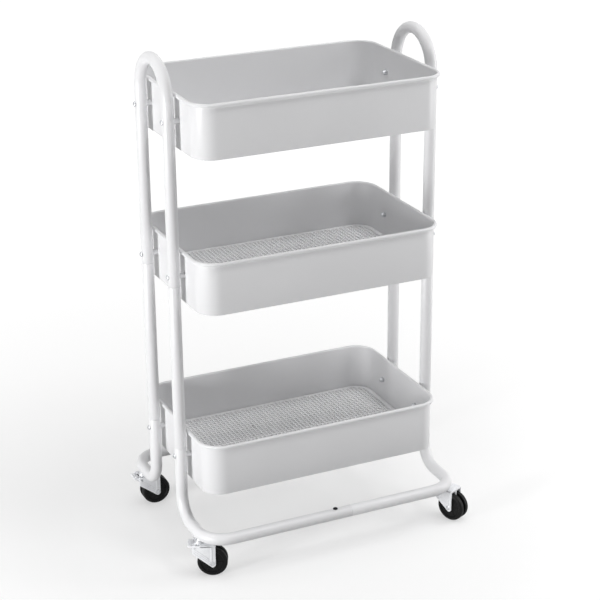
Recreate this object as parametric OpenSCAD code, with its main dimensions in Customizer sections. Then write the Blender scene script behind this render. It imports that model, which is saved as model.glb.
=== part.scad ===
// Three-tier rolling utility cart: pressed trays with mesh floors, two looped tube handles,
// bent base tubes and four swivelling twin-wheel casters.
// Frame: X along the trays, Y from front (-Y) to rear (+Y), Z up. Origin on the floor, at the centre.

/* [Trays] */
// Length of a tray over its rolled rim
tray_l = 414; // [340:2:480]
// Width of a tray over its rolled rim
tray_w = 272; // [220:2:300]
// Height of a tray from its underside to the top of its rim
tray_h = 85; // [70:1:110]
// Thickness of the tray sheet
tray_t = 1; // [0.8:0.1:1.6]
// Diameter of the rolled rim
rim_d = 5.4; // [4:0.2:7]
// Corner radius of a tray over its rim
tray_r = 38; // [28:1:50]
// Width of the ledge that carries the mesh floor
ledge_w = 12; // [11:1:20]
// Rise of that ledge above the wall's lower edge
ledge_rise = 6.5; // [0:0.5:12]
// Height of the top tray's rim above the floor
top_z = 758; // [740:1:820]
// Height of the middle tray's rim above the floor
mid_z = 516; // [470:1:560]
// Height of the bottom tray's rim above the floor
low_z = 215; // [205:1:260]

/* [Mesh floors] */
// Thickness of a mesh floor
mesh_t = 1.6; // [1.2:0.1:3]
// Width of a mesh floor's solid border
mesh_border = 9; // [6:0.5:16]
// Width of the bars between the gaps
mesh_bar = 2.4; // [1.5:0.1:4]
// Gaps along a mesh floor
mesh_nx = 14; // [6:1:14]
// Gaps across a mesh floor
mesh_ny = 9; // [4:1:9]

/* [Tube frame] */
// Outer diameter of the frame tube
tube_d = 19; // [16:0.5:21]
// Wall of the frame tube
tube_t = 1.2; // [1:0.1:1.6]
// Distance across the cart between the leg centres
leg_span = 115; // [100:1:140]
// Rise of a handle's top above the top tray's rim
handle_rise = 52; // [30:1:120]
// Distance between the front and rear rail centres
rail_span = 330; // [320:2:380]
// Bend radius between a leg and its foot
foot_bend_r = 38; // [30:1:40]
// Bend radius between a foot and its rail
rail_bend_r = 42; // [30:1:42]
// Distance of the rail joint from the cart's middle
rail_joint = 26; // [15:1:60]
// Length of the reduced tube end inside its neighbour
spigot_l = 30; // [26:1:40]

/* [Fasteners] */
// Drop of the tray screws below a rim's top
screw_drop = 40; // [30:1:45]
// Shank diameter of the tray screws
screw_d = 5; // [4:0.5:6]
// Length of the spacers between the legs and the trays
spacer_l = 7.5; // [6:0.5:20]
// Outer diameter of the spacers
spacer_d = 9; // [8.5:0.5:12]
// Distance of a leg joint from the nearest tray screw
joint_offset = 15; // [13:1:20]
// Shank diameter of the rail screws
rail_screw_d = 4; // [3:0.5:5]

/* [Casters] */
// Height of a caster from the floor to the tube's underside
caster_h = 61; // [61:0.5:70]
// Wheel diameter
wheel_d = 48; // [40:0.5:48]
// Width of each of a caster's two wheels
wheel_w = 8.6; // [7:0.1:11]
// Diameter of the wheel axle
axle_d = 6; // [5:0.5:7]
// Distance of the wheel axle behind the swivel axis
trail = 20; // [19:0.5:22]
// Diameter of the swivel stem
stem_d = 8; // [7:0.5:9]
// Distance of the swivel axes from the cart's long middle plane
caster_y = 128; // [120:1:132]
// Thickness of the web between a caster's wheels
web_t = 3.4; // [2.5:0.1:5]
// Thickness of a hood's side plates
cheek_t = 2.5; // [2:0.1:3]
// Swing of a brake lever from rest to its stop at the wheels
brake_swing = 25; // [10:1:28]
// Heading of the front left caster
heading_fl = -25; // [-180:5:180]
// Heading of the rear left caster
heading_rl = 0; // [-180:5:180]
// Heading of the front right caster
heading_fr = -65; // [-180:5:180]
// Heading of the rear right caster
heading_rr = 150; // [-180:5:180]

/* [Hidden] */

$fn = 64;
white = [0.90, 0.90, 0.91];
mesh_white = [0.84, 0.84, 0.85];
steel = [0.72, 0.73, 0.75];
black = [0.04, 0.04, 0.045];
hood_white = [0.88, 0.89, 0.90];

// Radial clearance of a screw in its holes
hole_gap = 0.2;
// Radial clearance of a reduced tube end in its neighbour
spigot_gap = 0.1;
// Radial clearance of the caster's running fits
run_gap = 0.06;
// Small overrun that lets a cut pass right through
over = 1;

// Tray: the wall stands inside the rolled rim
wall_in = rim_d - 0.4;
wall_x = tray_l / 2 - wall_in;
wall_y = tray_w / 2 - wall_in;
wall_r = tray_r - wall_in;

// Frame
leg_x = wall_x + spacer_l + tube_d / 2;
leg_y = leg_span / 2;
bore_d = tube_d - 2 * tube_t;
spigot_d = bore_d - 2 * spigot_gap;
handle_top = top_z + handle_rise;
loop_z = handle_top - tube_d / 2 - leg_y;
screw_top = top_z - screw_drop;
screw_mid = mid_z - screw_drop;
screw_low = low_z - screw_drop;
joint_mid = screw_mid - joint_offset;
joint_low = screw_low + joint_offset;
rail_z = caster_h + tube_d / 2;
rail_y = rail_span / 2;
foot_end = rail_y - rail_bend_r;
rail_lap = 20;
shoulder_l = 2 * tube_t;

// Tray fasteners
screw_head_d = 1.7 * screw_d;
screw_head_h = 0.6 * screw_d;
nut_flats = 1.6 * screw_d;
nut_h = 0.8 * screw_d;
nut_dome_r = 0.7 * screw_d;
screw_end = nut_h + 1;
socket_d = stem_d + 4;

// Caster, in its own frame: swivel axis at the origin, axle at x = trail
wheel_r = wheel_d / 2;
wheel_gap = 0.6;
wheel_in = web_t / 2 + wheel_gap;
wheel_out = wheel_in + wheel_w;
cheek_in = wheel_out + 0.8;
cheek_out = cheek_in + cheek_t;
collar_h = 5.2;
collar_d = 17;
hood_top = caster_h - collar_h - 0.4;
stem_high = rail_z + bore_d / 2 - 1.2;
roof_t = 4.2;
roof_low = hood_top - roof_t;
boss_h = 3.4;
boss_low = roof_low - boss_h;
boss_d = stem_d + 6;
rivet_h = 1.8;
rivet_d = stem_d + 4;
web_back = rivet_d / 2 + 1;
cheek_front = trail + 5.5;
cheek_back = -11.5;
cheek_tip = wheel_r - 7;
cheek_rise = 0.78;
lever_x = -7;
lever_z = hood_top - 4.6;
lever_pin_d = 3.4;
lever_hub_d = 6.6;
lever_in = boss_d / 2 + 0.5;
shoe_t = 3;
shoe_gap = 0.5;
shoe_reach = norm([trail - lever_x, lever_z - wheel_r]);
shoe_l = shoe_reach - wheel_r - shoe_t / 2 - shoe_gap;
shoe_angle = -atan2(lever_z - wheel_r, trail - lever_x) - brake_swing;
tab_l = 12;
tab_t = 2.6;
tab_gap = 1.5;
tab_angle = 168;

// A rounded rectangle of true arcs
module round_rect(l, w, r) {
    square([l - 2 * r, w], center = true);
    square([l, w - 2 * r], center = true);
    for (x = [-1, 1], y = [-1, 1])
        translate([x * (l / 2 - r), y * (w / 2 - r)]) circle(r);
}

// A rod of circular section round a rounded rectangle
module round_bead(l, w, r, d) {
    for (s = [-1, 1]) {
        translate([-(l / 2 - r), s * w / 2, 0]) rotate([0, 90, 0]) cylinder(d = d, h = l - 2 * r);
        translate([s * l / 2, w / 2 - r, 0]) rotate([90, 0, 0]) cylinder(d = d, h = w - 2 * r);
    }
    for (q = [0 : 3])
        let (sx = (q == 0 || q == 3) ? 1 : -1, sy = q < 2 ? 1 : -1)
            translate([sx * (l / 2 - r), sy * (w / 2 - r), 0]) rotate([0, 0, 90 * q])
                rotate_extrude(angle = 90) translate([r, 0]) circle(d = d);
}

// The four places where a tray's fasteners lie, each looking outward along X
module at_screws(z) {
    for (side = [0, 180], y = [-leg_y, leg_y])
        rotate([0, 0, side]) translate([0, y, z]) children();
}

// A cylinder along +X from x0 to x1
module x_rod(x0, x1, d) {
    translate([x0, 0, 0]) rotate([0, 90, 0]) cylinder(d = d, h = x1 - x0);
}

// A cylinder along Y, centred on y = 0
module y_rod(x, z, d, w) {
    translate([x, w / 2, z]) rotate([90, 0, 0]) cylinder(d = d, h = w);
}

// A cylinder along Y on the origin's line, centred on a given y
module y_rod_at(y, d, w) {
    translate([0, y + w / 2, 0]) rotate([90, 0, 0]) cylinder(d = d, h = w);
}

// Pressed tray: wall, rolled rim, and an inward ledge that carries the mesh
module tray(rim_z) {
    base_z = rim_z - tray_h;
    ledge_z = base_z + ledge_rise;
    color(white)
    difference() {
        union() {
            translate([0, 0, base_z]) linear_extrude(tray_h - rim_d / 2)
                round_rect(2 * wall_x, 2 * wall_y, wall_r);
            translate([0, 0, rim_z - rim_d / 2])
                round_bead(tray_l - rim_d, tray_w - rim_d, tray_r - rim_d / 2, rim_d);
        }
        translate([0, 0, ledge_z + tray_t]) linear_extrude(tray_h)
            round_rect(2 * (wall_x - tray_t), 2 * (wall_y - tray_t), wall_r - tray_t);
        translate([0, 0, base_z - over]) linear_extrude(ledge_rise + over)
            round_rect(2 * (wall_x - tray_t), 2 * (wall_y - tray_t), wall_r - tray_t);
        translate([0, 0, base_z - over]) linear_extrude(tray_h)
            round_rect(2 * (wall_x - ledge_w), 2 * (wall_y - ledge_w), wall_r - ledge_w);
        at_screws(rim_z - screw_drop) x_rod(wall_x - 3 * tray_t, wall_x + over, screw_d + 2 * hole_gap);
    }
}

// Mesh floor: a flat border and a grid of square gaps
module mesh_floor(rim_z) {
    seat_gap = 1;
    l = 2 * (wall_x - tray_t - seat_gap);
    w = 2 * (wall_y - tray_t - seat_gap);
    grid_l = l - 2 * mesh_border + mesh_bar;
    grid_w = w - 2 * mesh_border + mesh_bar;
    pitch_x = grid_l / mesh_nx;
    pitch_y = grid_w / mesh_ny;
    corner = wall_r - tray_t - seat_gap;
    color(mesh_white)
    translate([0, 0, rim_z - tray_h + ledge_rise + tray_t]) linear_extrude(mesh_t)
        difference() {
            round_rect(l, w, corner);
            intersection() {
                round_rect(l - 2 * mesh_border, w - 2 * mesh_border, corner - mesh_border);
                for (i = [0 : mesh_nx - 1], j = [0 : mesh_ny - 1])
                    translate([(i + 0.5) * pitch_x - grid_l / 2, (j + 0.5) * pitch_y - grid_w / 2])
                        square([pitch_x - mesh_bar, pitch_y - mesh_bar], center = true);
            }
        }
}

// Spacers, cut to the legs' round
module spacers(z) {
    color(white)
    at_screws(z)
        difference() {
            x_rod(wall_x, leg_x, spacer_d);
            x_rod(wall_x - over, leg_x + over, screw_d + 2 * hole_gap);
            translate([leg_x, 0, -spacer_d]) cylinder(d = tube_d, h = 2 * spacer_d);
        }
}

// Pan-head screws from outside the legs to the cap nuts inside the tray
module tray_screws(z) {
    seat = leg_x + tube_d / 2;
    color(steel)
    at_screws(z) {
        x_rod(wall_x - tray_t - screw_end, seat, screw_d);
        translate([seat, 0, 0]) rotate([0, 90, 0])
            rotate_extrude() polygon([
                [0, 0], [screw_head_d / 2, 0], [screw_head_d / 2, screw_head_h * 0.45],
                [screw_head_d * 0.3, screw_head_h], [0, screw_head_h]
            ]);
    }
}

// Cap nuts: a hexagon with a domed closed end
module cap_nuts(z) {
    seat = wall_x - tray_t;
    color(steel)
    at_screws(z)
        difference() {
            union() {
                translate([seat - nut_h, 0, 0]) rotate([0, 90, 0])
                    cylinder(d = nut_flats / cos(30), h = nut_h, $fn = 6);
                intersection() {
                    translate([seat - nut_h, 0, 0]) sphere(r = nut_dome_r);
                    x_rod(seat - nut_h - nut_dome_r, seat - nut_h + over, 2 * nut_dome_r + over);
                }
            }
            x_rod(seat - screw_end - 0.3, seat + over, screw_d + 2 * hole_gap);
        }
}

// Solid run of a handle loop, of a given diameter
module handle_run(d, low) {
    for (y = [-leg_y, leg_y])
        translate([-leg_x, y, low]) cylinder(d = d, h = loop_z - low);
    translate([-leg_x, 0, loop_z]) rotate([90, 0, 90])
        rotate_extrude(angle = 180) translate([leg_y, 0]) circle(d = d);
}

// Handle: an inverted U of tube whose legs reach down to the joint under the middle screws
module handle(turn) {
    color(white)
    rotate([0, 0, turn])
        difference() {
            handle_run(tube_d, joint_mid);
            handle_run(bore_d, joint_mid - over);
            at_screws(screw_top) x_rod(leg_x - tube_d, leg_x + tube_d, screw_d + 2 * hole_gap);
            at_screws(screw_mid) x_rod(leg_x - tube_d, leg_x + tube_d, screw_d + 2 * hole_gap);
        }
}

// Leg: a straight tube with a reduced end at each joint
module leg(sx, sy) {
    color(white)
    difference() {
        translate([sx * leg_x, sy * leg_y, 0]) {
            translate([0, 0, joint_low]) cylinder(d = tube_d, h = joint_mid - joint_low);
            translate([0, 0, joint_low - spigot_l])
                cylinder(d = spigot_d, h = joint_mid - joint_low + 2 * spigot_l);
        }
        translate([sx * leg_x, sy * leg_y, joint_low - spigot_l - over])
            cylinder(d = spigot_d - 2 * tube_t, h = joint_mid - joint_low + 2 * spigot_l + 2 * over);
        translate([sx * leg_x, sy * leg_y, joint_low + shoulder_l])
            cylinder(d = bore_d, h = joint_mid - joint_low - 2 * shoulder_l);
        for (z = [screw_mid, screw_low])
            at_screws(z) x_rod(leg_x - tube_d, leg_x + tube_d, screw_d + 2 * hole_gap);
    }
}

// Solid run of a base tube at the front left, from its leg round to rail_end along X
module base_run(d, top, rail_end) {
    foot_start = leg_y + foot_bend_r;
    translate([-leg_x, -leg_y, rail_z + foot_bend_r]) cylinder(d = d, h = top - rail_z - foot_bend_r);
    translate([-leg_x, -foot_start, rail_z + foot_bend_r]) rotate([90, 0, 90]) rotate([0, 0, -90])
        rotate_extrude(angle = 90) translate([foot_bend_r, 0]) circle(d = d);
    translate([-leg_x, -foot_start, rail_z]) rotate([90, 0, 0]) cylinder(d = d, h = foot_end - foot_start);
    translate([-leg_x + rail_bend_r, -foot_end, rail_z]) rotate([0, 0, 180])
        rotate_extrude(angle = 90) translate([rail_bend_r, 0]) circle(d = d);
    translate([-leg_x + rail_bend_r, -rail_y, rail_z])
        x_rod(0, rail_end + leg_x - rail_bend_r, d);
}

// Threaded sleeve inside a foot that takes the caster's stem
module stem_sleeve() {
    translate([-leg_x, -caster_y, rail_z])
        intersection() {
            translate([0, 0, -tube_d / 2]) cylinder(d = socket_d, h = tube_d);
            rotate([90, 0, 0]) translate([0, 0, -socket_d]) cylinder(d = tube_d - tube_t, h = 2 * socket_d);
        }
}

// Holes shared by both kinds of base tube
module base_holes() {
    at_screws(screw_low) x_rod(leg_x - tube_d, leg_x + tube_d, screw_d + 2 * hole_gap);
    translate([-leg_x, -caster_y, caster_h - over])
        cylinder(d = stem_d + 2 * run_gap, h = stem_high - caster_h + over + 0.5);
    translate([0, -rail_y, rail_z - tube_d]) cylinder(d = rail_screw_d + 2 * hole_gap, h = 2 * tube_d);
}

// Base tube whose rail end takes in its neighbour's reduced end
module base_outer(turn) {
    color(white)
    rotate([0, 0, turn])
        difference() {
            union() {
                difference() {
                    base_run(tube_d, joint_low, rail_joint);
                    base_run(bore_d, joint_low + over, rail_joint + over);
                }
                stem_sleeve();
            }
            base_holes();
        }
}

// Base tube whose reduced rail end slides into its neighbour
module base_inner(turn) {
    color(white)
    rotate([0, 0, turn]) mirror([1, 0, 0])
        difference() {
            union() {
                difference() {
                    base_run(tube_d, joint_low, -rail_joint);
                    base_run(bore_d, joint_low + over, -rail_joint - shoulder_l);
                }
                translate([0, -rail_y, rail_z])
                    difference() {
                        x_rod(-rail_joint - shoulder_l, rail_lap, spigot_d);
                        x_rod(-rail_joint - shoulder_l - over, rail_lap + over, spigot_d - 2 * tube_t);
                    }
                stem_sleeve();
            }
            base_holes();
        }
}

// Black screws that fix the two rail joints
module rail_screws() {
    seat = rail_z + tube_d / 2;
    color(black)
    for (turn = [0, 180])
        rotate([0, 0, turn]) translate([0, -rail_y, 0]) {
            translate([0, 0, seat - tube_d]) cylinder(d = rail_screw_d, h = tube_d);
            translate([0, 0, seat])
                rotate_extrude() polygon([
                    [0, 0], [rail_screw_d, 0], [rail_screw_d, 0.8],
                    [rail_screw_d * 0.55, 1.8], [0, 1.8]
                ]);
        }
}

// Places its children at one caster, turned to that caster's heading
module at_caster(sx, sy, heading) {
    translate([sx * leg_x, sy * caster_y, 0]) rotate([0, 0, heading]) children();
}

// Swivel stem with its collar above the hood and its rivet head below
module stem() {
    color(steel) {
        translate([0, 0, boss_low - 0.3]) cylinder(d = stem_d, h = stem_high - boss_low + 0.3);
        translate([0, 0, boss_low - 0.3 - rivet_h]) cylinder(d = rivet_d, h = rivet_h);
        translate([0, 0, caster_h - collar_h]) cylinder(d1 = collar_d, d2 = stem_d + 3, h = collar_h);
    }
}

// Outline of a hood's side plate
module cheek_outline() {
    slope_run = trail - 0.5 - cheek_back;
    polygon([
        [cheek_back, hood_top], [cheek_back, cheek_tip + cheek_rise * slope_run],
        [trail - 0.5, cheek_tip], [trail + 1.5, cheek_tip],
        [cheek_front, cheek_tip + 4], [cheek_front, hood_top]
    ]);
}

// Hood: roof, two V-shaped side plates, web between the wheels, and swivel boss
module hood(braked) {
    roof_back = braked ? 0 : cheek_back;
    color(hood_white)
    difference() {
        union() {
            for (s = [-1, 1])
                translate([0, s * (cheek_in + cheek_t / 2) + cheek_t / 2, 0]) rotate([90, 0, 0])
                    linear_extrude(cheek_t) cheek_outline();
            translate([0, 0, roof_low]) linear_extrude(roof_t)
                union() {
                    translate([roof_back, -cheek_out]) square([cheek_front - roof_back, 2 * cheek_out]);
                    circle(d = boss_d);
                }
            translate([0, 0, boss_low]) cylinder(d = boss_d, h = boss_h + 1);
            intersection() {
                translate([0, web_t / 2, 0]) rotate([90, 0, 0]) linear_extrude(web_t)
                    union() {
                        translate([trail, wheel_r]) circle(r = wheel_r - 4);
                        translate([web_back, wheel_r])
                            square([cheek_front - web_back, roof_low - wheel_r + 1]);
                    }
                translate([web_back, -web_t, 0]) cube([2 * wheel_d, 2 * web_t, hood_top]);
            }
        }
        translate([0, 0, boss_low - over]) cylinder(d = stem_d + 2 * run_gap, h = hood_top);
        y_rod(trail, wheel_r, axle_d + 2 * run_gap, 4 * cheek_out);
        if (braked)
            y_rod(lever_x, lever_z, lever_pin_d + 2 * run_gap, 4 * cheek_out);
    }
}

// Axle pin with a rivet head at each end
module axle() {
    head_d = axle_d + 2.5;
    head_h = 1;
    color(steel) {
        y_rod(trail, wheel_r, axle_d, 2 * cheek_out);
        for (s = [0, 180])
            translate([trail, 0, wheel_r]) rotate([0, 0, s])
                translate([0, -cheek_out, 0]) rotate([90, 0, 0]) rotate_extrude() polygon([
                    [0, 0], [head_d / 2, 0], [head_d / 2, head_h * 0.4], [head_d * 0.3, head_h], [0, head_h]
                ]);
    }
}

// Wheel with a rounded outer shoulder and a dished face
module wheel(side) {
    shoulder = 3.6;
    dish = 1.6;
    color(black)
    translate([trail, 0, wheel_r]) rotate([90, 0, 0]) rotate([side > 0 ? 180 : 0, 0, 0])
        translate([0, 0, wheel_in])
            rotate_extrude()
                difference() {
                    union() {
                        square([wheel_r - shoulder, wheel_w]);
                        square([wheel_r, wheel_w - shoulder]);
                        translate([wheel_r - shoulder, wheel_w - shoulder]) circle(r = shoulder);
                    }
                    square([axle_d + 2 * run_gap, 3 * wheel_w], center = true);
                    polygon([
                        [axle_d + 1, wheel_w + 1], [axle_d + 1, wheel_w - dish],
                        [wheel_r - 2 * shoulder, wheel_w - dish], [wheel_r - 1.2 * shoulder, wheel_w + 1]
                    ]);
                }
}

// Outline of one side of a brake lever: pivot hub, shoe arm with a round tip, and tab arm
module lever_outline() {
    circle(d = lever_hub_d);
    rotate(shoe_angle) {
        translate([0, -shoe_t / 2]) square([shoe_l, shoe_t]);
        translate([shoe_l, 0]) circle(d = shoe_t);
    }
    rotate(tab_angle) translate([0, -tab_t / 2]) square([tab_l, tab_t]);
}

// Brake lever: a side with a shoe over each wheel, joined by the foot tab behind the stem
module brake_lever() {
    side_w = cheek_in - 0.4 - lever_in;
    color(hood_white)
    translate([lever_x, 0, lever_z]) {
        for (s = [-1, 1]) {
            translate([0, s * (lever_in + side_w / 2) + side_w / 2, 0]) rotate([90, 0, 0])
                linear_extrude(side_w) lever_outline();
            y_rod_at(s * (lever_in + cheek_out) / 2, lever_pin_d, cheek_out - lever_in);
        }
        rotate([0, -tab_angle, 0]) translate([tab_gap, -lever_in - 1, -tab_t / 2])
            cube([tab_l - tab_gap, 2 * lever_in + 2, tab_t]);
    }
}

handle(0);  // handle_left
handle(180);  // handle_right
leg(-1, -1);  // leg_front_left
leg(1, -1);  // leg_front_right
leg(-1, 1);  // leg_rear_left
leg(1, 1);  // leg_rear_right
base_outer(0);  // base_front_left
base_inner(0);  // base_front_right
base_inner(180);  // base_rear_left
base_outer(180);  // base_rear_right
rail_screws();
tray(top_z);  // tray_top
tray(mid_z);  // tray_middle
tray(low_z);  // tray_bottom
mesh_floor(top_z);  // mesh_top
mesh_floor(mid_z);  // mesh_middle
mesh_floor(low_z);  // mesh_bottom
spacers(screw_top);  // spacers_top
spacers(screw_mid);  // spacers_middle
spacers(screw_low);  // spacers_bottom
tray_screws(screw_top);  // screws_top
tray_screws(screw_mid);  // screws_middle
tray_screws(screw_low);  // screws_bottom
cap_nuts(screw_top);  // cap_nuts_top
cap_nuts(screw_mid);  // cap_nuts_middle
cap_nuts(screw_low);  // cap_nuts_bottom
at_caster(-1, -1, heading_fl) stem();  // stem_front_left
at_caster(1, -1, heading_fr) stem();  // stem_front_right
at_caster(-1, 1, heading_rl) stem();  // stem_rear_left
at_caster(1, 1, heading_rr) stem();  // stem_rear_right
at_caster(-1, -1, heading_fl) hood(true);  // hood_front_left
at_caster(1, -1, heading_fr) hood(false);  // hood_front_right
at_caster(-1, 1, heading_rl) hood(true);  // hood_rear_left
at_caster(1, 1, heading_rr) hood(false);  // hood_rear_right
at_caster(-1, -1, heading_fl) axle();  // axle_front_left
at_caster(1, -1, heading_fr) axle();  // axle_front_right
at_caster(-1, 1, heading_rl) axle();  // axle_rear_left
at_caster(1, 1, heading_rr) axle();  // axle_rear_right
at_caster(-1, -1, heading_fl) wheel(-1);  // wheel_a_front_left
at_caster(1, -1, heading_fr) wheel(-1);  // wheel_a_front_right
at_caster(-1, 1, heading_rl) wheel(-1);  // wheel_a_rear_left
at_caster(1, 1, heading_rr) wheel(-1);  // wheel_a_rear_right
at_caster(-1, -1, heading_fl) wheel(1);  // wheel_b_front_left
at_caster(1, -1, heading_fr) wheel(1);  // wheel_b_front_right
at_caster(-1, 1, heading_rl) wheel(1);  // wheel_b_rear_left
at_caster(1, 1, heading_rr) wheel(1);  // wheel_b_rear_right
at_caster(-1, -1, heading_fl) brake_lever();  // brake_lever_front_left
at_caster(-1, 1, heading_rl) brake_lever();  // brake_lever_rear_left
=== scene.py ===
import math

import bmesh
import bpy
from mathutils import Matrix, Vector


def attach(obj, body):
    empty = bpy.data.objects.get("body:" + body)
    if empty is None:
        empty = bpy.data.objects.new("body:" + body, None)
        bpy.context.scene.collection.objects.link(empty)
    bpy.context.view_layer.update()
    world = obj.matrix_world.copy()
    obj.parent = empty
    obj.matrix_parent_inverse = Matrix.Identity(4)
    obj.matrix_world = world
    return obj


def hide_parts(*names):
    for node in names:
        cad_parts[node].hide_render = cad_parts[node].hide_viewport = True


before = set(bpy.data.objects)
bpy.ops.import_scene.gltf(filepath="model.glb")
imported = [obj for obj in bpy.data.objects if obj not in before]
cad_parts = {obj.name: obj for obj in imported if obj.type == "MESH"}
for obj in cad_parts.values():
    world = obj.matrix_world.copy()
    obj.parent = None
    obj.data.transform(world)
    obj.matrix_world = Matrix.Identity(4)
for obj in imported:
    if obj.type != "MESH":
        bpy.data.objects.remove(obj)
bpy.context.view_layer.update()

scene = bpy.context.scene

# Each corner of the cart: its side along X, its side along Y, and its caster's heading in degrees
CORNERS = {
    "front_left": (-1, -1, -25),
    "front_right": (1, -1, -65),
    "rear_left": (-1, 1, 0),
    "rear_right": (1, 1, 150),
}
BRAKED = ("front_left", "rear_left")

# All sizes are in millimetres, as in the solids. This is the height of each tray's lower edge.
TIERS = {"top": 673.0, "middle": 431.0, "bottom": 130.0}

# Frame: place of the legs, tube and its soft ends, heights of the loops and joints, rails and bends
LEG_X, LEG_Y = 219.0, 57.5
TUBE_R, TUBE_SOFT = 9.5, 0.7
LOOP_Z, JOINT_MID, JOINT_LOW = 743.0, 461.0, 190.0
RAIL_Z, RAIL_Y, FOOT_R, RAIL_R, RAIL_JOINT = 70.5, 165.0, 38.0, 42.0, 26.0

# Trays: outer half sizes of the wall, its corner radius and thickness, and the height with the rim
WALL_X, WALL_Y, WALL_R, WALL_T, TRAY_H = 202.0, 131.0, 33.0, 1.0, 85.0
# Ledge at the wall's foot: height over the lower edge, width from the outer face, and fillet
LEDGE_Z, LEDGE_W, LEDGE_FILLET = 6.5, 12.0, 1.6
# Rolled rim: radius, how far its centre lies outside the wall, and how far below it the roll begins
RIM_R, RIM_OUT, RIM_LIP = 3.0, 2.0, 2.24

# Mesh floors: gap to the wall's outer face, width of the border, pitch and width of the strips
MESH_IN, MESH_BORDER, MESH_PITCH, STRIP_W = 2.0, 7.0, 6.9, 2.0
# How far the strips run into the border, and their clearance to the edge of the ledge's opening
STRIP_LAP, STRIP_CLEAR = 1.0, 0.4
# Heights over the ledge's lower face: the border's and the strips', which cross at two heights
MESH_LOW, MESH_TOP, STRIP_DEEP, STRIP_TOP_ACROSS, STRIP_TOP_ALONG = 1.05, 2.6, 0.4, 2.5, 2.42

# Screws: depth under the tray's rim, sink of the heads in the tubes, and shank
SCREW_DROP, HEAD_SINK, RAIL_HEAD_SINK = 40.0, 0.35, 0.3
SHANK_R, SHANK_L = 2.5, 29.0

# Casters: place of the stems, trail of the axle behind them, and radius of the wheels
CASTER_Y, TRAIL, WHEEL_R = 128.0, 20.0, 24.0
# Wheels: inner and outer face along the axle, bore, round of the tread, hub and spokes
WHEEL_IN, WHEEL_OUT, WHEEL_BORE, TREAD_ROUND = 2.3, 10.9, 3.1, 3.6
HUB_R, SPOKES, SPOKE_HALF, SPOKE_END = 7.0, 6, 1.1, 18.4
# Hoods: cheeks across and along, heights of the roof and the boss, the boss's radii, and ribs
CHEEK_IN, CHEEK_OUT, CHEEK_BACK, CHEEK_FRONT = 11.7, 14.2, -11.5, 25.5
HOOD_TOP, ROOF_LOW, BOSS_LOW, BOSS_R, BOSS_BORE = 55.4, 51.2, 47.8, 7.0, 4.1
RIB_PITCH, RIB_T, RIB_PROUD, RIB_SUNK = 3.6, 1.2, 0.5, 0.6
# Web between the wheels: radius, half its thickness, its front edge, and the degrees its arc ends at
WEB_R, WEB_HALF, WEB_FRONT, WEB_END_ANGLE = 19.8, 1.7, 25.4, 286.0
AXLE_R, STEM_R = 3.0, 4.0
# Brake levers: pivot, inner and outer face along the pin, and the directions of the two arms
LEVER_X, LEVER_Z, LEVER_IN, LEVER_OUT = -7.0, 50.8, 7.5, 11.3
LEVER_SHOE, LEVER_TAB = math.radians(-69.8), math.radians(168)


# Materials


class Shader:
    """A node material: a Principled shader with noise on its colour, roughness and surface."""

    def __init__(self, name, colour, rough, metallic=0.0):
        self.mat = bpy.data.materials.new(name)
        self.mat.use_nodes = True
        self.tree = self.mat.node_tree
        self.bsdf = self.tree.nodes["Principled BSDF"]
        self.bsdf.inputs["Base Color"].default_value = (*colour, 1)
        self.bsdf.inputs["Roughness"].default_value = rough
        self.bsdf.inputs["Metallic"].default_value = metallic
        self.colour = colour
        self.rough = rough
        self.coord = self.tree.nodes.new("ShaderNodeTexCoord")
        self.relief = None

    def link(self, a, b):
        self.tree.links.new(a, b)

    def noise(self, scale, detail=3.0, stretch=None):
        node = self.tree.nodes.new("ShaderNodeTexNoise")
        node.inputs["Scale"].default_value = scale
        node.inputs["Detail"].default_value = detail
        source = self.coord.outputs["Object"]
        if stretch:
            mapping = self.tree.nodes.new("ShaderNodeMapping")
            mapping.inputs["Scale"].default_value = stretch
            self.link(source, mapping.inputs["Vector"])
            source = mapping.outputs["Vector"]
        self.link(source, node.inputs["Vector"])
        return node.outputs["Fac"]

    def upward(self):
        """1 on faces that look up, 0 on upright ones."""
        node = self.tree.nodes.new("ShaderNodeSeparateXYZ")
        self.link(self.coord.outputs["Normal"], node.inputs["Vector"])
        return node.outputs["Z"]

    def ranged(self, value, low, high, start=0.35, end=0.65):
        node = self.tree.nodes.new("ShaderNodeMapRange")
        node.inputs["From Min"].default_value = start
        node.inputs["From Max"].default_value = end
        node.inputs["To Min"].default_value = low
        node.inputs["To Max"].default_value = high
        self.link(value, node.inputs["Value"])
        return node.outputs["Result"]

    def tint(self, share, other):
        node = self.tree.nodes.new("ShaderNodeMix")
        node.data_type = "RGBA"
        node.inputs["A"].default_value = (*self.colour, 1)
        node.inputs["B"].default_value = (*other, 1)
        self.link(share, node.inputs["Factor"])
        self.link(node.outputs["Result"], self.bsdf.inputs["Base Color"])

    def sheen(self, value, spread):
        rough = self.ranged(value, self.rough - spread, self.rough + spread)
        self.link(rough, self.bsdf.inputs["Roughness"])

    def bump(self, height, strength, depth):
        """Relief of this depth in metres, laid over the relief that is already there."""
        node = self.tree.nodes.new("ShaderNodeBump")
        node.inputs["Strength"].default_value = strength
        node.inputs["Distance"].default_value = depth
        self.link(height, node.inputs["Height"])
        if self.relief is not None:
            self.link(self.relief, node.inputs["Normal"])
        self.relief = node.outputs["Normal"]
        self.link(self.relief, self.bsdf.inputs["Normal"])


def shaded(colour, factor):
    return [c * factor for c in colour]


def powder_coat(name, colour, rough):
    """Paint with faint blotches, uneven gloss, a fine grain and orange peel."""
    s = Shader(name, colour, rough)
    s.tint(s.ranged(s.noise(scale=7.0, detail=2.0), low=0.0, high=1.0), shaded(colour, 0.975))
    s.sheen(s.noise(scale=160.0), spread=0.05)
    s.bump(s.noise(scale=1500.0, detail=2.0), strength=0.12, depth=0.0001)
    s.bump(s.noise(scale=260.0, detail=1.0), strength=0.06, depth=0.0003)
    return s.mat


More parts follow.
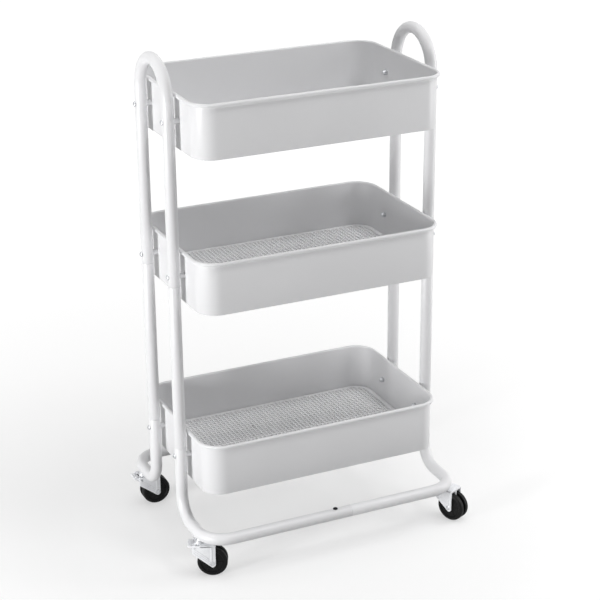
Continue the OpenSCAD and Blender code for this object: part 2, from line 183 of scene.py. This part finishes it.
def mesh_coat(name, colour, painted_shade_sides, rough):
    """Powder coat with painted shade: the upright sides of the strips are darker than their tops."""
    s = Shader(name, colour, rough)
    # Painted shade: faces that look up keep the colour, upright faces take the darker sides colour.
    s.tint(s.ranged(s.upward(), low=1.0, high=0.0, start=0.2, end=0.9), painted_shade_sides)
    s.sheen(s.noise(scale=160.0), spread=0.05)
    s.bump(s.noise(scale=1500.0, detail=2.0), strength=0.12, depth=0.0001)
    return s.mat


def moulded(name, colour, rough, worn, specular=0.5):
    """Plastic with scuffed spots and a fine grain."""
    s = Shader(name, colour, rough)
    s.bsdf.inputs["Specular IOR Level"].default_value = specular
    s.tint(s.ranged(s.noise(scale=90.0, detail=4.0), low=0.0, high=1.0, start=0.45, end=0.8), worn)
    s.sheen(s.noise(scale=420.0), spread=0.08)
    s.bump(s.noise(scale=2600.0, detail=2.0), strength=0.15, depth=0.00008)
    return s.mat


def metal(name, colour, rough, stretch):
    """Steel with patches in its colour and a grain squeezed along Z, like marks of turning."""
    s = Shader(name, colour, rough, metallic=1.0)
    s.tint(s.ranged(s.noise(scale=240.0), low=0.0, high=1.0), shaded(colour, 0.86))
    s.sheen(s.noise(scale=900.0, stretch=stretch), spread=0.08)
    s.bump(s.noise(scale=1800.0, detail=2.0, stretch=stretch), strength=0.1, depth=0.00005)
    return s.mat


FRAME_WHITE = powder_coat("frame_white", (0.80, 0.80, 0.81), rough=0.34)
TRAY_WHITE = powder_coat("tray_white", (0.80, 0.80, 0.81), rough=0.38)
# The sides colour of the mesh is painted shade on the upright faces of its strips.
MESH_WHITE = mesh_coat("mesh_white", (0.96, 0.96, 0.97), painted_shade_sides=(0.79, 0.79, 0.80), rough=0.42)
HOOD_WHITE = moulded("hood_plastic_white", (0.90, 0.91, 0.93), rough=0.32, worn=(0.84, 0.85, 0.88))
WHEEL_BLACK = moulded(
    "wheel_plastic_black", (0.004, 0.004, 0.0042), rough=0.5, worn=(0.008, 0.008, 0.008), specular=0.15)
ZINC = metal("zinc_steel", (0.62, 0.63, 0.65), rough=0.32, stretch=(1.0, 1.0, 8.0))
BLACK_STEEL = metal("black_oxide", (0.03, 0.03, 0.032), rough=0.45, stretch=(1.0, 1.0, 4.0))


# Mesh helpers


def along(a, b):
    """Rotation that takes +Z to the direction a to b, moved to a."""
    d = Vector(b) - Vector(a)
    return Matrix.Translation(a) @ d.to_track_quat("Z", "Y").to_matrix().to_4x4()


def ring_radius(half_flat, round_r, angle):
    """Radius at an angle of a circle, cut to a hexagon where half its width over flats is given."""
    if half_flat is None:
        return round_r
    from_flat = math.radians((math.degrees(angle) + 30) % 60 - 30)
    return min(round_r, half_flat / math.cos(from_flat))


def lathe(rings, seg, place=None):
    """Turned body about +Z. Each ring is (hexagon's half width or None, radius, height). Radius 0
    closes it."""
    bm = bmesh.new()
    loops = []
    for half_flat, r, h in rings:
        if r == 0:
            loops.append([bm.verts.new((0, 0, h))])
            continue
        loop = []
        for i in range(seg):
            angle = 2 * math.pi * i / seg
            reach = ring_radius(half_flat, r, angle)
            loop.append(bm.verts.new((reach * math.cos(angle), reach * math.sin(angle), h)))
        loops.append(loop)
    for a, b in zip(loops, loops[1:]):
        for i in range(seg):
            j = (i + 1) % seg
            corners = [a[i % len(a)], a[j % len(a)], b[j % len(b)], b[i % len(b)]]
            corners = list(dict.fromkeys(corners))
            if len(corners) > 2:
                bm.faces.new(corners)
    if place is not None:
        bm.transform(place)
    return bm


def turned_round(profile, seg, place=None):
    """Turned body about +Z with round rings only. Each ring is (radius, height)."""
    return lathe([(None, r, h) for r, h in profile], seg, place)


def rounded(profile, steps=6):
    """Profile points with (x, y, radius): each corner with a radius becomes an arc."""
    out = []
    for i, p in enumerate(profile):
        if len(p) < 3 or p[2] == 0:
            out.append((p[0], p[1]))
            continue
        a = Vector(profile[i - 1][:2])
        c = Vector(profile[(i + 1) % len(profile)][:2])
        b = Vector(p[:2])
        u, v = (a - b).normalized(), (c - b).normalized()
        half = math.acos(max(-1, min(1, u.dot(v)))) / 2
        reach = min(p[2] / math.tan(half), (a - b).length * 0.49, (c - b).length * 0.49)
        r = reach * math.tan(half)
        centre = b + (u + v).normalized() * (r / math.sin(half))
        start, end = b + u * reach - centre, b + v * reach - centre
        turn = math.atan2(start.x * end.y - start.y * end.x, start.dot(end))
        for k in range(steps + 1):
            t = turn * k / steps
            out.append((
                centre.x + start.x * math.cos(t) - start.y * math.sin(t),
                centre.y + start.x * math.sin(t) + start.y * math.cos(t),
            ))
    return out


def box_outline(x0, x1, y0, y1, r):
    return rounded([(x0, y0, r), (x1, y0, r), (x1, y1, r), (x0, y1, r)])


def prism(outline, low, high, place=None, edge=0.0, steps=3):
    """Outline drawn in local X and Y, raised from low to high, with rounded rims."""
    bm = bmesh.new()
    face = bm.faces.new([bm.verts.new((x, y, low)) for x, y in outline])
    raised = bmesh.ops.extrude_face_region(bm, geom=[face])["geom"]
    raised = [v for v in raised if isinstance(v, bmesh.types.BMVert)]
    bmesh.ops.translate(bm, verts=raised, vec=(0, 0, high - low))
    bmesh.ops.recalc_face_normals(bm, faces=bm.faces)
    if edge:
        rims = [e for e in bm.edges if abs(e.verts[0].co.z - e.verts[1].co.z) < 1e-6]
        bmesh.ops.bevel(
            bm, geom=rims, offset=edge, segments=steps, profile=0.5, affect="EDGES", clamp_overlap=True)
    if place is not None:
        bm.transform(place)
    return bm


def arc_points(centre, u, v, radius, start, end, steps):
    """Points on an arc from start to end degrees, in the plane of unit vectors u and v."""
    c, u, v = Vector(centre), Vector(u), Vector(v)
    out = []
    for k in range(steps + 1):
        t = math.radians(start + (end - start) * k / steps)
        out.append(c + (u * math.cos(t) + v * math.sin(t)) * radius)
    return out


def tube(points, radii, seg=32):
    """Round bar swept along points, with one radius a point, closed by flat ends."""
    bm = bmesh.new()
    pts = [Vector(p) for p in points]
    tangents = []
    for i in range(len(pts)):
        a, b = pts[max(i - 1, 0)], pts[min(i + 1, len(pts) - 1)]
        tangents.append((b - a).normalized())
    side = tangents[0].orthogonal().normalized()
    loops = []
    for p, t, r in zip(pts, tangents, radii):
        side = (side - t * side.dot(t)).normalized()
        other = t.cross(side)
        loops.append([
            bm.verts.new(p + (side * math.cos(a) + other * math.sin(a)) * r)
            for a in (2 * math.pi * k / seg for k in range(seg))
        ])
    for a, b in zip(loops, loops[1:]):
        for i in range(seg):
            j = (i + 1) % seg
            bm.faces.new((a[i], a[j], b[j], b[i]))
    bm.faces.new(list(reversed(loops[0])))
    bm.faces.new(loops[-1])
    return bm


def frame_tube(points):
    """Tube of the frame along these points, whose two ends are eased by a small round."""
    pts = [Vector(p) for p in points]
    first = (pts[1] - pts[0]).normalized() * TUBE_SOFT
    last = (pts[-2] - pts[-1]).normalized() * TUBE_SOFT
    steps = [(0.0, 1.0), (0.3, 0.35), (0.7, 0.1), (1.0, 0.0)]
    head = [(pts[0] + first * on, TUBE_R - TUBE_SOFT * less) for on, less in steps]
    tail = [(pts[-1] + last * on, TUBE_R - TUBE_SOFT * less) for on, less in reversed(steps)]
    whole = head + [(p, TUBE_R) for p in pts[1:-1]] + tail
    return tube([p for p, _ in whole], [r for _, r in whole])


def ring_sweep(profile, hx, hy, corner, z, steps=24):
    """Closed profile of (inward distance, height) swept round a rounded rectangle."""
    bm = bmesh.new()
    spine = []
    for q, (sx, sy) in enumerate(((1, 1), (-1, 1), (-1, -1), (1, -1))):
        for k in range(steps + 1):
            a = math.radians(90 * q + 90 * k / steps)
            spine.append((sx * (hx - corner), sy * (hy - corner), math.cos(a), math.sin(a)))
    loops = [
        [bm.verts.new((cx + (corner - d) * ux, cy + (corner - d) * uy, z + h)) for d, h in profile]
        for cx, cy, ux, uy in spine
    ]
    n = len(profile)
    for i, a in enumerate(loops):
        b = loops[(i + 1) % len(loops)]
        for k in range(n):
            m = (k + 1) % n
            bm.faces.new((a[k], b[k], b[m], a[m]))
    return bm


def piece(name, parts, mat, body, nodes, sharp=32.0):
    """Joins the parts, given in millimetres, into one object that stands for the nodes."""
    bm = bmesh.new()
    for part in parts:
        scratch = bpy.data.meshes.new("scratch")
        part.to_mesh(scratch)
        part.free()
        bm.from_mesh(scratch)
        bpy.data.meshes.remove(scratch)
    bmesh.ops.recalc_face_normals(bm, faces=bm.faces)
    bm.transform(Matrix.Scale(0.001, 4))
    for f in bm.faces:
        f.smooth = True
    for e in bm.edges:
        e.smooth = len(e.link_faces) == 2 and e.calc_face_angle(0.0) < math.radians(sharp)
    mesh = bpy.data.meshes.new(name)
    bm.to_mesh(mesh)
    bm.free()
    mesh.materials.append(mat)
    obj = bpy.data.objects.new(name, mesh)
    scene.collection.objects.link(obj)
    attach(obj, body)
    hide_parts(*nodes)


# Frame


def turned(points, turn, flip=False):
    """Points turned about the cart's upright middle line, after a flip from end to end."""
    m = Matrix.Rotation(math.radians(turn), 3, "Z")
    return [m @ Vector((-p[0] if flip else p[0], p[1], p[2])) for p in points]


def handle_path():
    loop = arc_points((-LEG_X, 0, LOOP_Z), (0, -1, 0), (0, 0, 1), LEG_Y, 0, 180, 48)
    return [(-LEG_X, -LEG_Y, JOINT_MID)] + loop + [(-LEG_X, LEG_Y, JOINT_MID)]


def base_path(rail_end):
    foot = (-LEG_X, -LEG_Y - FOOT_R, RAIL_Z + FOOT_R)
    drop = arc_points(foot, (0, 1, 0), (0, 0, -1), FOOT_R, 0, 90, 20)
    turn = (-LEG_X + RAIL_R, -RAIL_Y + RAIL_R, RAIL_Z)
    bend = arc_points(turn, (-1, 0, 0), (0, -1, 0), RAIL_R, 0, 90, 20)
    return [(-LEG_X, -LEG_Y, JOINT_LOW)] + drop + bend + [(rail_end, -RAIL_Y, RAIL_Z)]


def frame_tubes():
    paths = {
        "handle_left": turned(handle_path(), 0),
        "handle_right": turned(handle_path(), 180),
    }
    for corner, (sx, sy, _) in CORNERS.items():
        x, y = sx * LEG_X, sy * LEG_Y
        paths["leg_" + corner] = [(x, y, JOINT_LOW), (x, y, JOINT_MID)]
    paths["base_front_left"] = turned(base_path(RAIL_JOINT), 0)
    paths["base_front_right"] = turned(base_path(-RAIL_JOINT), 0, flip=True)
    paths["base_rear_left"] = turned(base_path(-RAIL_JOINT), 180, flip=True)
    paths["base_rear_right"] = turned(base_path(RAIL_JOINT), 180)
    for name, path in paths.items():
        piece(name + "_tube", [frame_tube(path)], FRAME_WHITE, "frame", [name])


# Trays


def tray_profile():
    """Section of a tray's wall: ledge, lower edge, wall, rolled rim, and back down inside."""
    out = [(LEDGE_W, LEDGE_Z), (WALL_T, LEDGE_Z)]
    out += [(WALL_T, 0.35), (0.85, 0.1), (0.6, 0.0), (0.4, 0.0), (0.15, 0.1), (0.0, 0.35)]
    start = math.atan2(-RIM_LIP, RIM_OUT)
    for k in range(21):
        a = start - (2 * math.pi + start) * k / 20
        out.append((RIM_R * math.cos(a) - RIM_OUT, TRAY_H - RIM_R + RIM_R * math.sin(a)))
    centre = WALL_T + LEDGE_FILLET
    for k in range(7):
        a = math.radians(90 * k / 6)
        out.append((centre - LEDGE_FILLET * math.cos(a), LEDGE_Z + centre - LEDGE_FILLET * math.sin(a)))
    out.append((LEDGE_W, LEDGE_Z + WALL_T))
    return out


def floor_reach(offset, half_along, half_across, inset):
    """Half the length of a line at this offset inside a mesh floor's outline, less the inset."""
    radius = WALL_R - MESH_IN - inset
    over = abs(offset) - (half_across - inset - radius)
    if over <= 0:
        return half_along - inset
    if over >= radius:
        return 0.0
    return half_along - inset - radius + math.sqrt(radius * radius - over * over)


def floor_strip(offset, half_along, half_across, z, top):
    """Upright strip along X: shallow over the tray's ledge, deeper where it spans the opening."""
    end = floor_reach(offset, half_along, half_across, MESH_BORDER - STRIP_LAP)
    step = floor_reach(offset, half_along, half_across, LEDGE_W - MESH_IN + STRIP_CLEAR)
    outline = [(-end, MESH_LOW), (end, MESH_LOW), (end, top), (-end, top)]
    if step > 0:
        outline[1:1] = [(-step, MESH_LOW), (-step, STRIP_DEEP), (step, STRIP_DEEP), (step, MESH_LOW)]
    bm = bmesh.new()
    near, far = (
        [bm.verts.new((x, offset + side, z + h)) for x, h in outline]
        for side in (-STRIP_W / 2, STRIP_W / 2)
    )
    bm.faces.new(near)
    bm.faces.new(list(reversed(far)))
    for i in range(len(outline)):
        j = (i + 1) % len(outline)
        bm.faces.new((near[j], near[i], far[i], far[j]))
    return bm


def mesh_floor(z):
    """Crossed upright strips in a flat border, on the tray's ledge and a little deeper inside it."""
    hx, hy = WALL_X - MESH_IN, WALL_Y - MESH_IN
    border = [
        (0.0, MESH_LOW), (0.0, MESH_TOP - 0.15), (0.2, MESH_TOP),
        (MESH_BORDER - 0.3, MESH_TOP), (MESH_BORDER, MESH_TOP - 0.2), (MESH_BORDER, MESH_LOW),
    ]
    parts = [ring_sweep(border, hx, hy, WALL_R - MESH_IN, z, steps=16)]
    quarter = Matrix.Rotation(math.radians(90), 4, "Z")
    for half_along, half_across, top, turn in (
            (hy, hx, STRIP_TOP_ACROSS, quarter), (hx, hy, STRIP_TOP_ALONG, None)):
        count = int((half_across - MESH_BORDER + STRIP_LAP) / MESH_PITCH)
        for i in range(-count, count + 1):
            strip = floor_strip(i * MESH_PITCH, half_along, half_across, z, top)
            if turn is not None:
                strip.transform(turn)
            parts.append(strip)
    return parts


def trays():
    for tier, z in TIERS.items():
        wall = ring_sweep(tray_profile(), WALL_X, WALL_Y, WALL_R, z)
        piece(f"tray_{tier}_pressed", [wall], TRAY_WHITE, "frame", ["tray_" + tier])
        strips = mesh_floor(z + LEDGE_Z)
        piece(
            f"mesh_{tier}_wires", strips, MESH_WHITE, "frame", ["mesh_" + tier],
            sharp=60.0)


# Screws and nuts


def button_head(place):
    """Domed head with a hexagon socket; its seat lies on z = 0."""
    radius, skirt, crown, dome_end = 4.25, 0.7, 2.3, 66.0
    rings = [(None, 4.0, 0.0), (None, radius, 0.25), (None, radius, skirt)]
    for k in range(1, 7):
        a = math.radians(dome_end * k / 6)
        height = skirt + crown * math.sin(a) / math.sin(math.radians(dome_end))
        rings.append((None, radius * math.cos(a), height))
    rings += [(1.45, 1.9, 3.0), (1.45, 1.7, 1.3), (None, 0, 1.0)]
    return lathe(rings, 48, place)


def cap_nut(place):
    """Hexagon nut with chamfers and a domed end; its seat lies on z = 0."""
    flat, corner, dome_r, dome_z = 4.0, 4.62, 3.45, 4.02
    rings = [
        (flat, 4.2, 0.0), (flat, corner, 0.45), (flat, corner, 3.5), (flat, 4.15, 4.0),
        (None, 3.5, dome_z),
    ]
    for k in range(1, 8):
        a = math.radians(90 * k / 8)
        rings.append((None, dome_r * math.cos(a), dome_z + dome_r * math.sin(a)))
    rings.append((None, 0, dome_z + dome_r))
    return lathe(rings, 48, place)


def rail_head(place):
    """Low round head with a hexagon socket; its seat lies on z = 0."""
    rings = [(None, 3.6, 0), (None, 4.0, 0.3), (None, 3.9, 0.9), (None, 3.0, 1.7), (None, 1.6, 1.95)]
    rings += [(1.2, 1.45, 1.95), (1.2, 1.3, 0.9), (None, 0, 0.8)]
    return lathe(rings, 36, place)


def fasteners():
    shank = [(SHANK_R, 0), (SHANK_R, SHANK_L)]
    for tier, z in TIERS.items():
        height = z + TRAY_H - SCREW_DROP
        heads, nuts = [], []
        for sx in (-1, 1):
            out = Vector((sx, 0, 0))
            for y in (-LEG_Y, LEG_Y):
                seat = Vector((sx * (LEG_X + TUBE_R - HEAD_SINK), y, height))
                inner = Vector((sx * (WALL_X - WALL_T), y, height))
                heads.append(button_head(along(seat, seat + out)))
                heads.append(turned_round(shank, 24, along(inner, inner + out)))
                nuts.append(cap_nut(along(inner, inner - out)))
        piece(f"screws_{tier}_heads", heads, ZINC, "frame", ["screws_" + tier])
        piece(f"cap_nuts_{tier}_domed", nuts, ZINC, "frame", ["cap_nuts_" + tier])
    tops = []
    for y in (-RAIL_Y, RAIL_Y):
        seat = Vector((0, y, RAIL_Z + TUBE_R - RAIL_HEAD_SINK))
        tops.append(rail_head(along(seat, seat + Vector((0, 0, 1)))))
    piece("rail_screws_heads", tops, BLACK_STEEL, "frame", ["rail_screws"])


# Casters, drawn about their stem with the wheels behind it along X


def caster_frame(corner):
    sx, sy, heading = CORNERS[corner]
    turn = Matrix.Rotation(math.radians(heading), 4, "Z")
    return Matrix.Translation((sx * LEG_X, sy * CASTER_Y, 0)) @ turn


def axle_frame(side):
    """Frame at the wheels' centre whose Z runs out along the axle, to one side or the other."""
    return Matrix.Translation((TRAIL, 0, WHEEL_R)) @ Matrix.Rotation(math.radians(-90 * side), 4, "X")


def plate(outline, y0, y1, edge):
    """Outline drawn in the caster's X and Z, standing from y0 to y1."""
    return prism(outline, -y1, -y0, Matrix.Rotation(math.radians(90), 4, "X"), edge)


def circle(x, z, radius, step):
    angles = [math.radians(a) for a in range(0, 360, step)]
    return [(x + radius * math.cos(a), z + radius * math.sin(a)) for a in angles]


def web_outline():
    """Disc between the wheels that runs up into the hood's roof."""
    top = ROOF_LOW + 0.5
    start = math.degrees(math.acos((BOSS_R - TRAIL) / WEB_R))
    out = [(BOSS_R, top)]
    for k in range(37):
        a = math.radians(start + (WEB_END_ANGLE - start) * k / 36)
        out.append((TRAIL + WEB_R * math.cos(a), WHEEL_R + WEB_R * math.sin(a)))
    return out + [(WEB_FRONT, top)]


def hood_parts(braked):
    """Two V-shaped cheeks with ribs, a roof that leaves room for a lever, a boss and the web."""
    eave = HOOD_TOP - 0.4
    cheek = rounded([
        (CHEEK_BACK, eave, 1.2), (CHEEK_BACK, 41.2, 2.2), (19.5, 17.0, 2.2), (22.0, 17.0, 1.2),
        (CHEEK_FRONT, 20.5, 2.0), (CHEEK_FRONT, eave, 1.2),
    ], 5)
    parts = [plate(cheek, CHEEK_IN, CHEEK_OUT, 0.5), plate(cheek, -CHEEK_OUT, -CHEEK_IN, 0.5)]
    rib_back, rib_front, rib_round = (-9.8, 43.2), (15.5, 23.5), 0.4
    ribs = []
    for k in range(3):
        (x0, z0), (x1, z1), up = rib_back, rib_front, RIB_PITCH * k
        ribs.append(rounded([
            (x0, z0 + up, rib_round), (x1, z1 + up, rib_round),
            (x1, z1 + up + RIB_T, rib_round), (x0, z0 + up + RIB_T, rib_round),
        ], 3))
    ribs.append(box_outline(18.2, 20.2, 25.5, 52.5, 0.8))
    for rib in ribs:
        parts.append(plate(rib, CHEEK_OUT - RIB_SUNK, CHEEK_OUT + RIB_PROUD, 0.25))
        parts.append(plate(rib, -CHEEK_OUT - RIB_PROUD, -CHEEK_OUT + RIB_SUNK, 0.25))
    roof = box_outline(0.0 if braked else CHEEK_BACK, CHEEK_FRONT, -CHEEK_OUT, CHEEK_OUT, 2.0)
    parts.append(prism(roof, ROOF_LOW, HOOD_TOP, edge=1.0))
    parts.append(turned_round([
        (BOSS_BORE, BOSS_LOW), (BOSS_R - 0.4, BOSS_LOW), (BOSS_R, BOSS_LOW + 0.4),
        (BOSS_R, HOOD_TOP - 0.8), (BOSS_R - 0.4, HOOD_TOP), (BOSS_BORE, HOOD_TOP), (BOSS_BORE, BOSS_LOW),
    ], 40))
    parts.append(plate(web_outline(), -WEB_HALF, WEB_HALF, 0.25))
    return parts


def wheel_parts(side):
    """Wheel with a rounded tread, a dished face, a hub and spokes."""
    profile = [
        (WHEEL_BORE, WHEEL_IN), (22.8, WHEEL_IN), (23.5, WHEEL_IN + 0.25), (WHEEL_R, WHEEL_IN + 0.9),
    ]
    for k in range(9):
        a = math.radians(90 * k / 8)
        r = WHEEL_R - TREAD_ROUND + TREAD_ROUND * math.cos(a)
        profile.append((r, WHEEL_OUT - TREAD_ROUND + TREAD_ROUND * math.sin(a)))
    face = [
        (18.6, 0.0), (18.1, 0.5), (17.6, 1.6), (9.0, 1.75), (8.0, 1.0), (7.4, 0.45), (HUB_R, 0.3),
        (WHEEL_BORE, 0.3),
    ]
    profile += [(r, WHEEL_OUT - sunk) for r, sunk in face] + [(WHEEL_BORE, WHEEL_IN)]
    axis = axle_frame(side)
    parts = [turned_round(profile, 72, axis)]
    for k in range(SPOKES):
        spoke = box_outline(HUB_R, SPOKE_END, -SPOKE_HALF, SPOKE_HALF, 0.4)
        turn = Matrix.Rotation(math.radians(360 / SPOKES * k), 4, "Z")
        parts.append(prism(spoke, WHEEL_OUT - 3.0, WHEEL_OUT - 0.9, axis @ turn, edge=0.3, steps=2))
    return parts


def axle_parts():
    """Pin with a riveted head on each cheek."""
    head = [
        (AXLE_R, 0.0), (4.0, 0.0), (4.25, 0.2), (4.0, 0.55), (3.0, 0.9), (1.5, 0.98), (1.1, 0.8),
        (0, 0.7),
    ]
    profile = [(AXLE_R, 0.0)] + [(r, CHEEK_OUT + out) for r, out in head]
    return [turned_round(profile, 40, axle_frame(side)) for side in (-1, 1)]


def stem_parts():
    """Stem with its rivet head under the hood and its collar under the foot tube."""
    return [turned_round([
        (0, 45.7), (5.4, 45.7), (6.0, 46.2), (6.0, 47.2), (5.7, 47.5), (STEM_R, 47.5),
        (STEM_R, 55.8), (8.1, 55.8), (8.5, 56.1), (8.4, 56.7), (6.6, 59.2),
        (5.7, 60.6), (5.4, 61.3), (0, 61.3),
    ], 48)]


def from_pivot(angle, on, up):
    """Point at a distance on along an arm of the lever at this angle, and up across it."""
    x = LEVER_X + on * math.cos(angle) - up * math.sin(angle)
    return x, LEVER_Z + on * math.sin(angle) + up * math.cos(angle)


def lever_arm(angle, start, end, thick, tip):
    half = thick / 2
    outline = rounded([(start, -half, 0), (end, -half, tip), (end, half, tip), (start, half, 0)])
    return [from_pivot(angle, on, up) for on, up in outline]


def lever_parts():
    """Brake lever: on each side a hub, a pin, a shoe arm and a tab arm, and a ribbed tread across."""
    parts = []
    for side in (-1, 1):
        low, high = sorted((side * LEVER_IN, side * LEVER_OUT))
        parts.append(plate(circle(LEVER_X, LEVER_Z, 3.3, 15), low, high, 0.35))
        parts.append(plate(lever_arm(LEVER_SHOE, 0, 13.5, 3.0, 1.45), low, high, 0.35))
        parts.append(plate(lever_arm(LEVER_TAB, 0, 12.0, 2.6, 0.6), low, high, 0.35))
        low, high = sorted((side * LEVER_IN, side * CHEEK_OUT))
        parts.append(plate(circle(LEVER_X, LEVER_Z, 1.7, 20), low, high, 0.15))
    half = LEVER_IN + 0.3
    parts.append(plate(lever_arm(LEVER_TAB, 1.7, 12.0, 2.5, 0.6), -half, half, 0.35))
    for k in range(4):
        on = 5.2 + 1.7 * k
        ridge = [(on, 1.15), (on + 0.8, 1.15), (on + 0.6, 1.55), (on + 0.2, 1.55)]
        outline = [from_pivot(LEVER_TAB, a, -up) for a, up in ridge]
        parts.append(plate(outline, -7.0, 7.0, 0.0))
    return parts


def casters():
    for corner in CORNERS:
        place = caster_frame(corner)
        swivel = "swivel_" + corner

        def add(name, parts, mat, body, node):
            for bm in parts:
                bm.transform(place)
            piece(name, parts, mat, body, [node])

        braked = corner in BRAKED
        add(f"stem_{corner}_turned", stem_parts(), ZINC, "frame", "stem_" + corner)
        hood = "hood_" + corner
        add(hood + "_moulded", hood_parts(braked), HOOD_WHITE, swivel, hood)
        add(f"axle_{corner}_riveted", axle_parts(), ZINC, swivel, "axle_" + corner)
        for key, side in (("a", -1), ("b", 1)):
            node = f"wheel_{key}_{corner}"
            add(node + "_moulded", wheel_parts(side), WHEEL_BLACK, node, node)
        if braked:
            node = "brake_lever_" + corner
            add(node + "_moulded", lever_parts(), HOOD_WHITE, "brake_" + corner, node)


def paint_spacers():
    """The spacers keep the mesh of their solids."""
    for tier in TIERS:
        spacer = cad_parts["spacers_" + tier]
        spacer.data.materials.clear()
        spacer.data.materials.append(FRAME_WHITE)


# Floor, light and camera, in metres


def seen_ray(tree):
    """1 for the rays of the camera, of reflections and of glass, else 0."""
    path = tree.nodes.new("ShaderNodeLightPath")
    total = path.outputs["Is Camera Ray"]
    for kind in ("Is Glossy Ray", "Is Transmission Ray"):
        node = tree.nodes.new("ShaderNodeMath")
        node.operation = "MAXIMUM"
        tree.links.new(total, node.inputs[0])
        tree.links.new(path.outputs[kind], node.inputs[1])
        total = node.outputs[0]
    return total


def by_ray(tree, other, seen):
    """A value that is one thing where it is seen, and another where it only lights the object."""
    node = tree.nodes.new("ShaderNodeMapRange")
    node.inputs["To Min"].default_value = other
    node.inputs["To Max"].default_value = seen
    tree.links.new(seen_ray(tree), node.inputs["Value"])
    return node


def away_from_middle(tree, near, far, start, end):
    """A value that grows from near to far between two distances from the floor's middle."""
    coord = tree.nodes.new("ShaderNodeTexCoord")
    length = tree.nodes.new("ShaderNodeVectorMath")
    length.operation = "LENGTH"
    tree.links.new(coord.outputs["Object"], length.inputs[0])
    node = tree.nodes.new("ShaderNodeMapRange")
    node.inputs["From Min"].default_value = start
    node.inputs["From Max"].default_value = end
    node.inputs["To Min"].default_value = near
    node.inputs["To Max"].default_value = far
    tree.links.new(length.outputs["Value"], node.inputs["Value"])
    return node.outputs["Result"]


def floor():
    """White floor: it shows white where it is seen, keeps the shadow, and throws back less light."""
    half = 20
    corners = [(-half, -half, 0), (half, -half, 0), (half, half, 0), (-half, half, 0)]
    mesh = bpy.data.meshes.new("floor")
    mesh.from_pydata(corners, [], [(0, 1, 2, 3)])
    obj = bpy.data.objects.new("floor", mesh)
    scene.collection.objects.link(obj)
    mat = bpy.data.materials.new("floor_white")
    mat.use_nodes = True
    tree = mat.node_tree
    bsdf = tree.nodes["Principled BSDF"]
    bsdf.inputs["Base Color"].default_value = (0.5, 0.5, 0.5, 1)
    bsdf.inputs["Roughness"].default_value = 0.9
    bsdf.inputs["Specular IOR Level"].default_value = 0.0
    bsdf.inputs["Emission Color"].default_value = (1, 1, 1, 1)
    glow = by_ray(tree, other=0.0, seen=1.0)
    spread = away_from_middle(tree, near=0.5, far=0.95, start=0.4, end=2.2)
    tree.links.new(spread, glow.inputs["To Max"])
    tree.links.new(glow.outputs["Result"], bsdf.inputs["Emission Strength"])
    mesh.materials.append(mat)


def softbox(name, place, aim, width, height, power):
    data = bpy.data.lights.new(name, "AREA")
    data.shape = "RECTANGLE"
    data.size, data.size_y = width, height
    data.energy = power
    obj = bpy.data.objects.new(name, data)
    obj.rotation_mode = "QUATERNION"
    obj.location = place
    obj.rotation_quaternion = (Vector(aim) - Vector(place)).to_track_quat("-Z", "Y")
    obj.visible_camera = False
    scene.collection.objects.link(obj)


def sky():
    """Dim even light all round, which is seen as white."""
    world = bpy.data.worlds.new("studio")
    scene.world = world
    world.use_nodes = True
    tree = world.node_tree
    back = tree.nodes["Background"]
    back.inputs["Color"].default_value = (1.0, 1.0, 1.0, 1)
    tree.links.new(by_ray(tree, other=0.13, seen=1.0).outputs["Result"], back.inputs["Strength"])


def camera():
    """Camera at the photo's place and angle: its right, up and forward directions, then its place."""
    data = bpy.data.cameras.new("camera")
    data.sensor_width, data.lens = 36.0, 104.035
    data.clip_start, data.clip_end = 0.05, 60.0
    obj = bpy.data.objects.new("camera", data)
    right = Vector((0.9063285, -0.4224891, -0.0084665))
    up = Vector((0.1636526, 0.3324565, 0.9288113))
    ahead = Vector((0.3895979, 0.8431937, -0.3704562))
    m = Matrix((right, up, -ahead)).transposed().to_4x4()
    m.translation = (-1.0732232, -2.3605581, 1.4129753)
    obj.matrix_world = m
    scene.collection.objects.link(obj)
    scene.camera = obj


frame_tubes()
trays()
fasteners()
casters()
paint_spacers()
floor()
sky()
softbox("left", place=(-2.2, -0.66, 0.36), aim=(0, 0, 0.36), width=0.3, height=0.66, power=38)
softbox("right", place=(1.15, -0.45, 0.6), aim=(0, 0, 0.42), width=0.5, height=1.4, power=9)
softbox("key", place=(1.6, -2.0, 3.9), aim=(0, 0, 0.40), width=1.0, height=1.0, power=24)
softbox("top", place=(0.0, 0.0, 2.9), aim=(0, 0, 0.5), width=3.0, height=3.0, power=48)
camera()
scene.view_settings.view_transform = "Standard"
